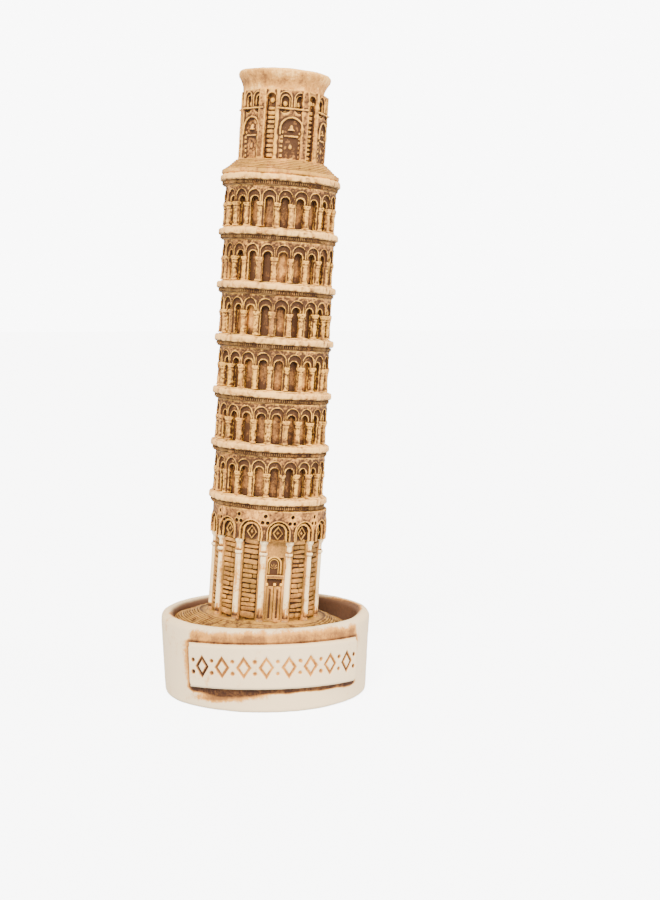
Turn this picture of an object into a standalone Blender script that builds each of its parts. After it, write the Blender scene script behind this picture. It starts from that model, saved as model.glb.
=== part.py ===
"""Miniature leaning bell tower standing in a round dish.

The tower is a stack of turned drums, colonnades and moulded cornice plates. Every
storey is square to one tilted frame, and each is stepped back a little from the one
below, so the tower's centre line leans less than its storeys tilt. Units are metres,
+Z is up, -Y is the front with the name plate and the door, and the tower leans to +X.
"""

import math

import bmesh
import bpy
from mathutils import Matrix, Vector

# Joints between glued pieces
GAP = 0.0003

# Dish
DISH_RIM_RADIUS = 0.0179
DISH_FOOT_RADIUS = 0.0173
DISH_HEIGHT = 0.0139
DISH_WALL = 0.0021
DISH_WELL_DEPTH = 0.0045
DISH_FOOT_ROUND = 0.0008

# Name plate on the dish's front
PLATE_ABOVE_FOOT = 0.0034
PLATE_BELOW_RIM = 0.0031
PLATE_HALF_ANGLE = math.radians(53.5)
PLATE_THICKNESS = 0.0005
PLATE_CORNER = 0.0007

# Stance of the tower, from the dish's rim
FOOT_X = -0.0004
FOOT_BELOW_RIM = 0.0005
LEAN = math.radians(2.54)
TILT = math.radians(4.0)

# Stepped plinth, as the width and the drop of each step below the tower's foot
PLINTH_MARGIN = 0.0006
PLINTH_STEPS = ((0.0007, 0.0006), (0.0008, 0.0007), (0.0011, 0.0008))

# Shaft: a drum, and the arcade round it
WALL_RADIUS = 0.00817
ARCADE_DEPTH = 0.0008

# Ground storey
GROUND_HEIGHT = 0.0187
GROUND_BAYS = 13
GROUND_ARCADE_DEPTH = 0.00125
GROUND_COLUMN_RADIUS = 0.00045
GROUND_CAPITAL_RADIUS = 0.00056
GROUND_CAPITAL_HEIGHT = 0.0009
GROUND_ARCH_HALF = 0.0015
GROUND_ARCH_STILT = 0.0025
GROUND_ARCH_RIB = 0.0011
LOZENGE_HALF_WIDTH = 0.0007
LOZENGE_HALF_HEIGHT = 0.0009
LOZENGE_ABOVE_CAPITAL = 0.0013
LOZENGE_DEPTH = 0.0003

# Door in the front bay
DOOR_WIDTH = 0.0027
DOOR_HEIGHT = 0.0058
DOOR_THICKNESS = 0.0005
DOOR_NICHE_DEPTH = 0.0009
LINTEL_WIDTH = 0.0031
LINTEL_HEIGHT = 0.0015
HOOD_RADIUS = 0.0013
HOOD_RIB = 0.00035
HOOD_STILT = 0.0020
HOOD_PROUD = 0.0005

# Galleries
GALLERIES = 6
GALLERY_HEIGHT = 0.00666
GALLERY_BAYS = 22
GALLERY_ARCH_HALF = 0.00087
GALLERY_ARCH_RIB = 0.0010
GALLERY_TURN = math.radians(-4.6)

# Cornice plates: a strip of dentils under a plain band
CORNICE_BAND_HEIGHT = 0.00095
CORNICE_STRIP_HEIGHT = 0.00098
CORNICE_BAND_OVERHANG = 0.00075
CORNICE_STRIP_OVERHANG = 0.00040

# Terrace that the belfry stands on
TERRACE_HEIGHT = 0.0023
TERRACE_BRIM_SETBACK = 0.0002
TERRACE_MARGIN = 0.0006
TERRACE_STEPS = 3

# Belfry
BELFRY_HEIGHT = 0.0114
BELFRY_WALL_RADIUS = 0.0061
BELFRY_ARCADE_DEPTH = 0.0006
BELFRY_PAIRS = 6
BELFRY_TURN = math.radians(1.5)
BELFRY_WIDE_HALF = 0.0018
BELFRY_TWIN_HALF = 0.00070
BELFRY_TWIN_HEIGHT = 0.0008
BELFRY_SLOT_HALF = 0.00060
BELFRY_PIER = 0.0004
BELFRY_SILL = 0.0007

# Crown and roof
CROWN_HEIGHT = 0.0033
CROWN_FLARE = 0.00105
CROWN_WALL = 0.0011
CROWN_LIP = 0.0008
ROOF_THICKNESS = 0.0012

# Facets
DISH_SIDES = 48
CORNICE_SIDES = 44
BELFRY_SIDES = 42
GROUND_SIDES = 4 * GROUND_BAYS
COLUMN_SIDES = 8
ARCH_SEGMENTS = 4
BIG_ARCH_SEGMENTS = 8
PLATE_SEGMENTS = 16


def clear_of(radius, sides):
    """Smallest faceted ring round a drum of this radius that keeps the gap to it."""
    return (radius + GAP) / math.cos(math.pi / sides)


# Derived sizes
FRONT = -math.pi / 2
STEP_BACK = math.tan(TILT - LEAN)
FOOT_Z = DISH_HEIGHT - FOOT_BELOW_RIM
WELL_RADIUS = DISH_RIM_RADIUS - DISH_WALL
WELL_FLOOR = DISH_HEIGHT - DISH_WELL_DEPTH
RIM_ROUND = DISH_WALL / 2
PLATE_LOW = PLATE_ABOVE_FOOT
PLATE_HIGH = DISH_HEIGHT - PLATE_BELOW_RIM
ARCADE_INNER = clear_of(WALL_RADIUS, GALLERY_BAYS)
ARCADE_OUTER = ARCADE_INNER + ARCADE_DEPTH
PLINTH_SEAT_RADIUS = ARCADE_OUTER + PLINTH_MARGIN
GROUND_ARCH_LOW = GROUND_HEIGHT - GROUND_ARCH_RIB - GROUND_ARCH_HALF - GROUND_ARCH_STILT
COLUMN_RING_RADIUS = WALL_RADIUS + GAP + GROUND_CAPITAL_RADIUS
LOZENGE_CENTRE = GROUND_ARCH_LOW + LOZENGE_ABOVE_CAPITAL
DOOR_FACE = WALL_RADIUS - DOOR_NICHE_DEPTH
CORNICE_HEIGHT = CORNICE_STRIP_HEIGHT + CORNICE_BAND_HEIGHT + GAP
BELFRY_INNER = clear_of(BELFRY_WALL_RADIUS, BELFRY_SIDES)
BELFRY_OUTER = BELFRY_INNER + BELFRY_ARCADE_DEPTH
TERRACE_SEAT_RADIUS = BELFRY_OUTER + TERRACE_MARGIN
TERRACE_BRIM_RADIUS = ARCADE_OUTER + CORNICE_BAND_OVERHANG - TERRACE_BRIM_SETBACK
TWIN_SPRING = BELFRY_HEIGHT - BELFRY_SILL - BELFRY_TWIN_HALF
TWIN_LOW = TWIN_SPRING - BELFRY_TWIN_HEIGHT
WIDE_SPRING = TWIN_LOW - BELFRY_SILL - BELFRY_WIDE_HALF
SLOT_SPRING = BELFRY_HEIGHT - BELFRY_SILL - BELFRY_SLOT_HALF
CROWN_NECK_RADIUS = (BELFRY_INNER + BELFRY_OUTER) / 2
CROWN_RIM_RADIUS = CROWN_NECK_RADIUS + CROWN_FLARE


def clear_scene():
    for obj in list(bpy.data.objects):
        bpy.data.objects.remove(obj)


def new_collection(name):
    collection = bpy.data.collections.new(name)
    bpy.context.scene.collection.children.link(collection)
    return collection


def resin(name, colour, roughness):
    """A matte painted resin."""
    material = bpy.data.materials.new(name)
    material.use_nodes = True
    shader = material.node_tree.nodes["Principled BSDF"]
    shader.inputs["Base Color"].default_value = (*colour, 1.0)
    shader.inputs["Roughness"].default_value = roughness
    shader.inputs["Metallic"].default_value = 0.0
    return material


clear_scene()
TOWER = new_collection("leaning_tower_miniature")
CUTTERS = new_collection("cutters")
IVORY = resin("ivory_resin", (0.86, 0.80, 0.69), 0.55)
WASHED = resin("washed_resin", (0.62, 0.44, 0.26), 0.60)
CORNICE = resin("cornice_resin", (0.80, 0.66, 0.48), 0.58)
STAINED = resin("stained_resin", (0.50, 0.33, 0.21), 0.65)


def add_object(name, mesh, material=None):
    obj = bpy.data.objects.new(name, mesh)
    TOWER.objects.link(obj)
    if material and not mesh.materials:
        mesh.materials.append(material)
    return obj


def as_cutter(obj):
    """Moves an object to the cutters, out of the render."""
    TOWER.objects.unlink(obj)
    CUTTERS.objects.link(obj)
    obj.hide_render = True
    obj.display_type = "WIRE"
    return obj


def frozen(obj):
    """The object's evaluated shape as a plain mesh, with touching points made one."""
    bpy.context.view_layer.update()
    graph = bpy.context.evaluated_depsgraph_get()
    mesh = bpy.data.meshes.new_from_object(obj.evaluated_get(graph))
    shape = bmesh.new()
    shape.from_mesh(mesh)
    bmesh.ops.remove_doubles(shape, verts=shape.verts, dist=1e-7)
    bmesh.ops.recalc_face_normals(shape, faces=shape.faces)
    shape.to_mesh(mesh)
    shape.free()
    return mesh


def freeze(obj):
    """Swaps an object's modifiers, or its curve, for the mesh that they make."""
    mesh = frozen(obj)
    name = obj.name
    bpy.data.objects.remove(obj)
    return add_object(name, mesh)


def turned(name, profile, sides, material=None, ring=False):
    """A solid of revolution about Z. The profile is (radius, height) points that run
    down the outer side; ring joins its last point to its first."""
    count = len(profile)
    edges = [(i, i + 1) for i in range(count - 1)]
    if ring:
        edges.append((count - 1, 0))
    mesh = bpy.data.meshes.new(name)
    mesh.from_pydata([(r, 0.0, z) for r, z in profile], edges, [])
    obj = add_object(name, mesh, material)
    screw = obj.modifiers.new("turn", "SCREW")
    screw.steps = screw.render_steps = sides
    screw.use_merge_vertices = True
    screw.merge_threshold = 1e-6
    screw.use_smooth_shade = False
    mesh = frozen(obj)
    obj.modifiers.clear()
    obj.data = mesh
    return obj


def arc(centre, radius, start, end, segments):
    """Points of an arc in the (radius, height) plane, both ends included."""
    steps = [start + (end - start) * i / segments for i in range(segments + 1)]
    return [(centre[0] + radius * math.cos(a), centre[1] + radius * math.sin(a)) for a in steps]


def prism(name, outline, depth):
    """A flat outline of (sideways, height) points as a solid, depth thick along Y and
    centred on it."""
    curve = bpy.data.curves.new(name, "CURVE")
    curve.dimensions = "2D"
    curve.fill_mode = "BOTH"
    curve.extrude = depth / 2
    spline = curve.splines.new("POLY")
    spline.points.add(len(outline) - 1)
    for point, (x, z) in zip(spline.points, outline):
        point.co = (x, z, 0.0, 1.0)
    spline.use_cyclic_u = True
    obj = freeze(add_object(name, curve))
    obj.data.transform(Matrix.Rotation(math.pi / 2, 4, "X"))
    return obj


def arch_outline(half, low, spring, segments):
    """A round-headed opening from low up to its springing, closed by a half circle."""
    return [(half, low), *arc((0.0, spring), half, 0.0, math.pi, segments), (-half, low)]


def around(name, obj, angles, radius):
    """Copies of an object stood on a circle, each facing outwards, as one mesh. An angle
    of 0 is the front. The object itself is removed."""
    shape = bmesh.new()
    for angle in angles:
        first = len(shape.verts)
        shape.from_mesh(obj.data)
        place = Matrix.Rotation(angle, 4, "Z") @ Matrix.Translation((0.0, -radius, 0.0))
        shape.verts.ensure_lookup_table()
        bmesh.ops.transform(shape, matrix=place, verts=shape.verts[first:])
    mesh = bpy.data.meshes.new(name)
    shape.to_mesh(mesh)
    shape.free()
    bpy.data.objects.remove(obj)
    return add_object(name, mesh)


def boolean(obj, other, operation):
    modifier = obj.modifiers.new(operation.lower(), "BOOLEAN")
    modifier.operation = operation
    modifier.object = as_cutter(other)
    return obj


def cut(obj, other):
    """Takes one shape out of another that lies in the same frame, for good."""
    return freeze(boolean(obj, other, "DIFFERENCE"))


def evenly(count, offset=0.0):
    """Angles of count places round the tower; an offset of 0.5 is half way between."""
    return [(i + offset) * math.tau / count for i in range(count)]


def stand(obj, height, turn=0.0):
    """Stands a piece in the tower's tilted frame, on the stepped-back centre line."""
    obj.parent = TOWER_FRAME
    obj.location = (-height * STEP_BACK, 0.0, height)
    obj.rotation_euler = (0.0, 0.0, turn)
    return obj


def dish_radius(z):
    """Radius of the dish's outer wall, which narrows evenly towards its foot."""
    widest = DISH_HEIGHT - RIM_ROUND
    share = (z - DISH_FOOT_ROUND) / (widest - DISH_FOOT_ROUND)
    return DISH_FOOT_RADIUS + (DISH_RIM_RADIUS - DISH_FOOT_RADIUS) * share


def make_dish():
    rim_centre = (DISH_RIM_RADIUS - RIM_ROUND, DISH_HEIGHT - RIM_ROUND)
    rim = arc(rim_centre, RIM_ROUND, math.pi, 0.0, 5)
    foot_centre = (DISH_FOOT_RADIUS - DISH_FOOT_ROUND, DISH_FOOT_ROUND)
    foot = arc(foot_centre, DISH_FOOT_ROUND, 0.0, -math.pi / 2, 2)
    profile = [(0.0, WELL_FLOOR), (WELL_RADIUS, WELL_FLOOR), *rim, *foot, (0.0, 0.0)]
    return turned("base_dish", profile, DISH_SIDES, IVORY)


def make_name_plate():
    """A panel bent round the dish's wall, with its four corners rounded."""
    mesh = bpy.data.meshes.new("name_plate")
    shape = bmesh.new()
    bmesh.ops.create_cube(shape, size=1.0)
    width = 2 * PLATE_HALF_ANGLE * DISH_RIM_RADIUS
    size = (width, PLATE_THICKNESS, PLATE_HIGH - PLATE_LOW)
    bmesh.ops.scale(shape, vec=size, verts=shape.verts)
    thick = PLATE_THICKNESS / 2
    corners = [e for e in shape.edges if abs(e.verts[0].co.y - e.verts[1].co.y) > thick]
    bmesh.ops.bevel(
        shape, geom=corners, offset=PLATE_CORNER, segments=2, profile=0.5, affect="EDGES"
    )
    for i in range(1, PLATE_SEGMENTS):
        x = width * (i / PLATE_SEGMENTS - 0.5)
        everything = [*shape.verts, *shape.edges, *shape.faces]
        bmesh.ops.bisect_plane(
            shape, geom=everything, plane_co=(x, 0.0, 0.0), plane_no=(1.0, 0.0, 0.0)
        )
    for vert in shape.verts:
        z = vert.co.z + (PLATE_LOW + PLATE_HIGH) / 2
        radius = dish_radius(z) + GAP + thick - vert.co.y
        angle = FRONT + vert.co.x / DISH_RIM_RADIUS
        vert.co = (radius * math.cos(angle), radius * math.sin(angle), z)
    bmesh.ops.recalc_face_normals(shape, faces=shape.faces)
    shape.to_mesh(mesh)
    shape.free()
    return add_object("name_plate", mesh, IVORY)


def make_plinth():
    """Rings that step down from the tower's foot, kept inside the dish's well."""
    radius, height = PLINTH_SEAT_RADIUS, 0.0
    profile = [(0.0, height), (radius, height)]
    for width, drop in PLINTH_STEPS:
        profile.append((radius, height - drop))
        radius, height = radius + width, height - drop
        profile.append((radius, height))
    below = height - DISH_HEIGHT
    profile += [(2 * WELL_RADIUS, height), (2 * WELL_RADIUS, below), (0.0, below)]
    plinth = turned("stepped_plinth", profile, CORNICE_SIDES, STAINED)
    plinth.parent = TOWER_FRAME
    plinth.location = (0.0, 0.0, -GAP)
    inside, low = WELL_RADIUS - GAP, WELL_FLOOR + GAP
    space = [(0.0, 2 * DISH_HEIGHT), (inside, 2 * DISH_HEIGHT), (inside, low), (0.0, low)]
    return boolean(plinth, turned("well_space", space, DISH_SIDES), "INTERSECT")


def make_ground_wall():
    """The ground storey's drum, with a lozenge sunk in each bay and a niche for the door."""
    top = GROUND_HEIGHT - GAP
    profile = [(0.0, top), (WALL_RADIUS, top), (WALL_RADIUS, 0.0), (0.0, 0.0)]
    wall = turned("ground_wall", profile, GROUND_SIDES, WASHED)
    lozenge = [
        (LOZENGE_HALF_WIDTH, LOZENGE_CENTRE),
        (0.0, LOZENGE_CENTRE + LOZENGE_HALF_HEIGHT),
        (-LOZENGE_HALF_WIDTH, LOZENGE_CENTRE),
        (0.0, LOZENGE_CENTRE - LOZENGE_HALF_HEIGHT),
    ]
    cutter = prism("lozenge", lozenge, 2 * LOZENGE_DEPTH)
    wall = cut(wall, around("lozenges", cutter, evenly(GROUND_BAYS), WALL_RADIUS))
    half, high = DOOR_WIDTH / 2 + GAP, DOOR_HEIGHT + GAP
    opening = [(half, high), (-half, high), (-half, -GAP), (half, -GAP)]
    niche = prism("niche", opening, 2 * DOOR_NICHE_DEPTH)
    return stand(cut(wall, around("door_niche", niche, [0.0], WALL_RADIUS)), 0.0)


def make_ground_columns():
    """One column at the edge of each bay, all from one turned shape."""
    top = GROUND_ARCH_LOW - GAP
    profile = [
        (0.0, top),
        (GROUND_CAPITAL_RADIUS, top),
        (GROUND_CAPITAL_RADIUS, top - GROUND_CAPITAL_HEIGHT / 2),
        (GROUND_COLUMN_RADIUS, top - GROUND_CAPITAL_HEIGHT),
        (GROUND_COLUMN_RADIUS, 0.0),
        (0.0, 0.0),
    ]
    shared = turned("ground_column_01", profile, COLUMN_SIDES, IVORY)
    reach = COLUMN_RING_RADIUS
    for i, angle in enumerate(evenly(GROUND_BAYS, 0.5)):
        column = shared if i == 0 else add_object(f"ground_column_{i + 1:02d}", shared.data)
        stand(column, 0.0, angle)
        column.location += Vector((reach * math.sin(angle), -reach * math.cos(angle), 0.0))


def arcade_ring(name, inner, outer, low, top, sides):
    profile = [(inner, top), (outer, top), (outer, low), (inner, low)]
    return turned(name, profile, sides, WASHED, ring=True)


def make_ground_arcade():
    """Stilted arches that spring from the ground columns."""
    low, top = GROUND_ARCH_LOW, GROUND_HEIGHT - GAP
    inner = clear_of(WALL_RADIUS, GROUND_SIDES)
    outer = inner + GROUND_ARCADE_DEPTH
    arcade = arcade_ring("ground_arcade", inner, outer, low, top, GROUND_SIDES)
    spring = low + GROUND_ARCH_STILT
    outline = arch_outline(GROUND_ARCH_HALF, low - GAP, spring, BIG_ARCH_SEGMENTS)
    cutter = prism("ground_arch", outline, 4 * GROUND_ARCADE_DEPTH)
    arches = around("ground_arches", cutter, evenly(GROUND_BAYS), outer)
    return stand(cut(arcade, arches), 0.0)


def make_door():
    """A leaf in its niche, and above it a lintel that carries a small hood arch."""
    half = DOOR_WIDTH / 2
    outline = [(half, DOOR_HEIGHT), (-half, DOOR_HEIGHT), (-half, 0.0), (half, 0.0)]
    leaf = prism("door_leaf", outline, DOOR_THICKNESS)
    leaf.data.materials.append(STAINED)
    stand(leaf, 0.0)
    leaf.location += Vector((0.0, -(DOOR_FACE + GAP + DOOR_THICKNESS / 2), 0.0))
    low = DOOR_HEIGHT + GAP
    shoulder = low + LINTEL_HEIGHT
    spring = shoulder + HOOD_STILT
    inside = HOOD_RADIUS - HOOD_RIB
    lintel = LINTEL_WIDTH / 2
    outline = [
        (lintel, low),
        (lintel, shoulder),
        *arch_outline(HOOD_RADIUS, shoulder, spring, BIG_ARCH_SEGMENTS),
        (-lintel, shoulder),
        (-lintel, low),
    ]
    opening = arch_outline(inside, shoulder, spring, BIG_ARCH_SEGMENTS)
    hood = prism("door_hood", outline, HOOD_PROUD)
    hood = cut(hood, prism("hood_opening", opening, 3 * HOOD_PROUD))
    hood.data.materials.append(WASHED)
    stand(hood, 0.0)
    hood.location += Vector((0.0, -(WALL_RADIUS + GAP + HOOD_PROUD / 2), 0.0))


def make_gallery_arcade():
    """One storey's ring of arches on its columns."""
    top = GALLERY_HEIGHT - GAP
    sides = GALLERY_BAYS
    arcade = arcade_ring("gallery_arcade_1", ARCADE_INNER, ARCADE_OUTER, 0.0, top, sides)
    spring = top - GALLERY_ARCH_RIB - GALLERY_ARCH_HALF
    outline = arch_outline(GALLERY_ARCH_HALF, -GAP, spring, ARCH_SEGMENTS)
    cutter = prism("gallery_arch", outline, 4 * ARCADE_DEPTH)
    return cut(arcade, around("gallery_arches", cutter, evenly(GALLERY_BAYS), ARCADE_OUTER))


def cornice_profile():
    """Half section of a cornice plate, from the middle of its top down its outer side."""
    top = CORNICE_HEIGHT - GAP
    band = ARCADE_OUTER + CORNICE_BAND_OVERHANG
    strip = ARCADE_OUTER + CORNICE_STRIP_OVERHANG
    low = top - CORNICE_BAND_HEIGHT
    return [(0.0, top), (band, top), (band, low), (strip, low), (strip, 0.0), (0.0, 0.0)]


def make_shaft():
    """The ground storey's cornice, then each gallery with its own, up to the terrace."""
    plate = turned("cornice_1", cornice_profile(), CORNICE_SIDES, CORNICE)
    stand(plate, GROUND_HEIGHT)
    top = GALLERY_HEIGHT - GAP
    profile = [(0.0, top), (WALL_RADIUS, top), (WALL_RADIUS, 0.0), (0.0, 0.0)]
    first_wall = turned("gallery_wall_1", profile, CORNICE_SIDES, STAINED)
    first_arcade = make_gallery_arcade()
    height = GROUND_HEIGHT + CORNICE_HEIGHT
    for i in range(1, GALLERIES + 1):
        wall, arcade = first_wall, first_arcade
        if i > 1:
            wall = add_object(f"gallery_wall_{i}", first_wall.data)
            arcade = add_object(f"gallery_arcade_{i}", first_arcade.data)
        stand(wall, height)
        stand(arcade, height, GALLERY_TURN)
        height += GALLERY_HEIGHT
        stand(add_object(f"cornice_{i + 1}", plate.data), height)
        height += CORNICE_HEIGHT
    return height


def make_terrace(height):
    """A shallow stepped cone between the last cornice and the belfry."""
    top = TERRACE_HEIGHT - GAP
    rise = top / (TERRACE_STEPS + 1)
    tread = (TERRACE_BRIM_RADIUS - TERRACE_SEAT_RADIUS) / TERRACE_STEPS
    profile = [(0.0, top), (TERRACE_SEAT_RADIUS, top)]
    for i in range(TERRACE_STEPS):
        radius, level = TERRACE_SEAT_RADIUS + i * tread, top - (i + 1) * rise
        profile += [(radius, level), (radius + tread, level)]
    profile += [(TERRACE_BRIM_RADIUS, 0.0), (0.0, 0.0)]
    stand(turned("belfry_terrace", profile, CORNICE_SIDES, CORNICE), height)
    return height + TERRACE_HEIGHT


def make_belfry(height):
    """A narrow drum inside a ring of wide arches, twin lights and narrow slots."""
    top = BELFRY_HEIGHT - GAP
    profile = [(0.0, top), (BELFRY_WALL_RADIUS, top), (BELFRY_WALL_RADIUS, 0.0), (0.0, 0.0)]
    stand(turned("belfry_wall", profile, BELFRY_SIDES, STAINED), height)
    arcade = arcade_ring("belfry_arcade", BELFRY_INNER, BELFRY_OUTER, 0.0, top, BELFRY_SIDES)
    depth = 4 * BELFRY_ARCADE_DEPTH
    wide = arch_outline(BELFRY_WIDE_HALF, -GAP, WIDE_SPRING, BIG_ARCH_SEGMENTS)
    twin = arch_outline(BELFRY_TWIN_HALF, TWIN_LOW, TWIN_SPRING, ARCH_SEGMENTS)
    slot = arch_outline(BELFRY_SLOT_HALF, BELFRY_SILL, SLOT_SPRING, ARCH_SEGMENTS)
    bays = evenly(BELFRY_PAIRS)
    aside = (BELFRY_TWIN_HALF + BELFRY_PIER / 2) / BELFRY_OUTER
    twins = [bay + side * aside for bay in bays for side in (-1, 1)]
    slots = evenly(BELFRY_PAIRS, 0.5)
    for name, outline, angles in (("wide", wide, bays), ("twin", twin, twins), ("slot", slot, slots)):
        cutter = prism(f"{name}_opening", outline, depth)
        arcade = cut(arcade, around(f"{name}_openings", cutter, angles, BELFRY_OUTER))
    stand(arcade, height, BELFRY_TURN)
    return height + BELFRY_HEIGHT


def make_crown(height):
    """A flared ring round a sunken roof disc, both on the belfry's drum."""
    neck_inner = CROWN_NECK_RADIUS - CROWN_WALL
    profile = [
        (CROWN_RIM_RADIUS - CROWN_WALL, CROWN_HEIGHT),
        (CROWN_RIM_RADIUS, CROWN_HEIGHT),
        (CROWN_RIM_RADIUS, CROWN_HEIGHT - CROWN_LIP),
        (CROWN_NECK_RADIUS, 0.0),
        (neck_inner, 0.0),
        (neck_inner, ROOF_THICKNESS),
    ]
    stand(turned("belfry_crown", profile, BELFRY_SIDES, IVORY, ring=True), height)
    radius = neck_inner - GAP
    profile = [(0.0, ROOF_THICKNESS), (radius, ROOF_THICKNESS), (radius, 0.0), (0.0, 0.0)]
    stand(turned("belfry_roof", profile, BELFRY_SIDES, CORNICE), height)


TOWER_FRAME = bpy.data.objects.new("tower_frame", None)
TOWER.objects.link(TOWER_FRAME)
TOWER_FRAME.location = (FOOT_X, 0.0, FOOT_Z)
TOWER_FRAME.rotation_euler = (0.0, TILT, 0.0)

make_dish()
make_name_plate()
make_plinth()
make_ground_wall()
make_ground_columns()
make_ground_arcade()
make_door()
make_crown(make_belfry(make_terrace(make_shaft())))
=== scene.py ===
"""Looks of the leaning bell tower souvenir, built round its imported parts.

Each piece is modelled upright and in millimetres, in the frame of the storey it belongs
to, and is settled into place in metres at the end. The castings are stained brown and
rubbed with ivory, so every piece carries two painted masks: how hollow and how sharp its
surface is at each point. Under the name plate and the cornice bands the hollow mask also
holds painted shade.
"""

import math
import random

import bpy
import numpy as np
from mathutils import Matrix, Vector


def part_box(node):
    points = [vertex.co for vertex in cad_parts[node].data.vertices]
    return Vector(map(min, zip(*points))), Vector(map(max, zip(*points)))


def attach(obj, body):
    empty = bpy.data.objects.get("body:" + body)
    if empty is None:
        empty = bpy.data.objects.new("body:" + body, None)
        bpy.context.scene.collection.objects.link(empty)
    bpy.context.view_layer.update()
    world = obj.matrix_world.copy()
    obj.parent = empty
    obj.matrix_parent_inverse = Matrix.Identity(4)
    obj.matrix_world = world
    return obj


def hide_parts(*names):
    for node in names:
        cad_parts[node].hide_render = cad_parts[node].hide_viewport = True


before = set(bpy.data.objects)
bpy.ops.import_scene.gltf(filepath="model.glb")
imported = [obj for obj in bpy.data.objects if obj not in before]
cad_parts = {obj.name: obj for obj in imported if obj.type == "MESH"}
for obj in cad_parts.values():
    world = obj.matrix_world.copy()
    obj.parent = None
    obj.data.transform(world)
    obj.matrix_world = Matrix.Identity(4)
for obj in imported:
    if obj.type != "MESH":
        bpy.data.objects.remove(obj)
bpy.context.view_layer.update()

MM = 0.001
STAMP = random.Random(31)

# How the tower stands
BAYS_ABOVE = 22
BAYS_BELOW = 13
FACET = 8
GALLERY_TURN = math.radians(-4.6)
BELFRY_PAIRS = 6
BELFRY_TURN = math.radians(1.2)
GALLERIES = 6
DENTILS = 170

# A leg long enough to cut an arch's opening through the storey's floor
LONG_LEG = 8.0

# Skin and depth for steps, whose stain hardly depends on how far in they lie
STEP_SKIN, STEP_DEPTH = 30.0, 60.0

# Grain of the fused castings, as the size of one facet
CAST = 0.12

# Height of the paint's grain, in metres
GRAIN_DEPTH = 0.00004

# Stain and paint, in linear light
IVORY = (0.92, 0.54, 0.17)
WHITE = (0.86, 0.69, 0.415)
PALE_IVORY = (0.75, 0.615, 0.415)
BUFF = (0.74, 0.37, 0.090)
HONEY = (0.45, 0.205, 0.050)
AMBER = (0.56, 0.26, 0.055)
OCHRE = (0.225, 0.098, 0.027)
BROWN = (0.056, 0.023, 0.009)
UMBER = (0.030, 0.010, 0.004)
MAUVE = (0.098, 0.052, 0.034)
GOLD = (0.98, 0.53, 0.095)

# Warm lamps, and paper that looks white under them
LAMP_TINT = (1.0, 0.87, 0.68)
PAPER = (0.64, 0.73, 0.92)
# How bright the studio's air lights, how bright it shows, and what the paper gains
AMBIENT, SHOWN, PAPER_GAIN = 1.5, 9.0, 6.0


# ---------------------------------------------------------------- camera and light

def place_camera():
    """Stands a little to the left of the front, below the middle of the tower."""
    away, eye = 0.2678, 0.0672
    aside, down, swing = math.radians(-9.5), math.radians(5.5), math.radians(2.39)
    lens = bpy.data.cameras.new("camera")
    lens.lens = 62.8
    lens.clip_start = 0.005
    camera = bpy.data.objects.new("camera", lens)
    bpy.context.scene.collection.objects.link(camera)
    camera.location = (away * math.sin(aside), -away * math.cos(aside), eye)
    camera.rotation_euler = (math.pi / 2 - down, 0.0, aside - swing)
    bpy.context.scene.camera = camera


def soft_lamp(name, side, power):
    """A far and very wide lamp that shines from the given side."""
    lamp = bpy.data.lights.new(name, "SUN")
    lamp.angle = math.radians(32)
    lamp.energy = power
    lamp.color = LAMP_TINT
    light = bpy.data.objects.new(name, lamp)
    bpy.context.scene.collection.objects.link(light)
    light.location = side
    light.rotation_euler = (-Vector(side)).to_track_quat("-Z", "Y").to_euler()


def light_studio():
    """Even light from all round, a little more of it from high in front."""
    world = bpy.data.worlds.new("studio")
    bpy.context.scene.world = world
    world.use_nodes = True
    tree = world.node_tree
    sky = tree.nodes["Background"]
    seen = node(tree, "ShaderNodeLightPath").outputs["Is Camera Ray"]
    gain = sums(tree, "MULTIPLY", seen, SHOWN - AMBIENT)
    tree.links.new(blended(tree, seen, LAMP_TINT, (1.0, 1.0, 1.0)), sky.inputs["Color"])
    tree.links.new(sums(tree, "ADD", gain, AMBIENT), sky.inputs["Strength"])
    soft_lamp("key", (-0.22, -0.60, 0.55), 8.1)
    soft_lamp("fill", (0.70, -0.45, 0.25), 3.2)
    soft_lamp("back", (0.15, 0.60, 0.45), 1.2)


def lay_floor():
    bpy.ops.mesh.primitive_plane_add(size=6.0, location=(0.0, 0.0, 0.0))
    floor = bpy.context.object
    floor.name = "studio_floor"
    paper = bpy.data.materials.new("pale_paper")
    paper.use_nodes = True
    tree = paper.node_tree
    shader = tree.nodes["Principled BSDF"]
    shader.inputs["Base Color"].default_value = (*PAPER, 1.0)
    shader.inputs["Roughness"].default_value = 0.9
    shader.inputs["Emission Color"].default_value = (1.0, 1.0, 1.0, 1.0)
    seen = node(tree, "ShaderNodeLightPath").outputs["Is Camera Ray"]
    tree.links.new(sums(tree, "MULTIPLY", seen, PAPER_GAIN), shader.inputs["Emission Strength"])
    floor.data.materials.append(paper)


# ---------------------------------------------------------------- modelling by hand

def hold(*pieces):
    """Selects these pieces and nothing else. The first one is active."""
    bpy.ops.object.select_all(action="DESELECT")
    for piece in pieces:
        piece.select_set(True)
    bpy.context.view_layer.objects.active = pieces[0]


def open_up(piece, everything=True):
    hold(piece)
    bpy.ops.object.mode_set(mode="EDIT")
    bpy.ops.mesh.select_all(action="SELECT" if everything else "DESELECT")


def close_up():
    bpy.ops.object.mode_set(mode="OBJECT")


def pick(piece, wanted):
    """Selects the points for which wanted(x, y, z) holds, and leaves the piece open."""
    hold(piece)
    bpy.ops.object.mode_set(mode="EDIT")
    bpy.ops.mesh.select_mode(type="VERT")
    bpy.ops.mesh.select_all(action="DESELECT")
    bpy.ops.object.mode_set(mode="OBJECT")
    for vert in piece.data.vertices:
        vert.select = wanted(*vert.co)
    bpy.ops.object.mode_set(mode="EDIT")


def fixed(piece):
    """Works the object's place, turn and size into its mesh."""
    hold(piece)
    bpy.ops.object.transform_apply(location=True, rotation=True, scale=True)
    return piece


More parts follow.
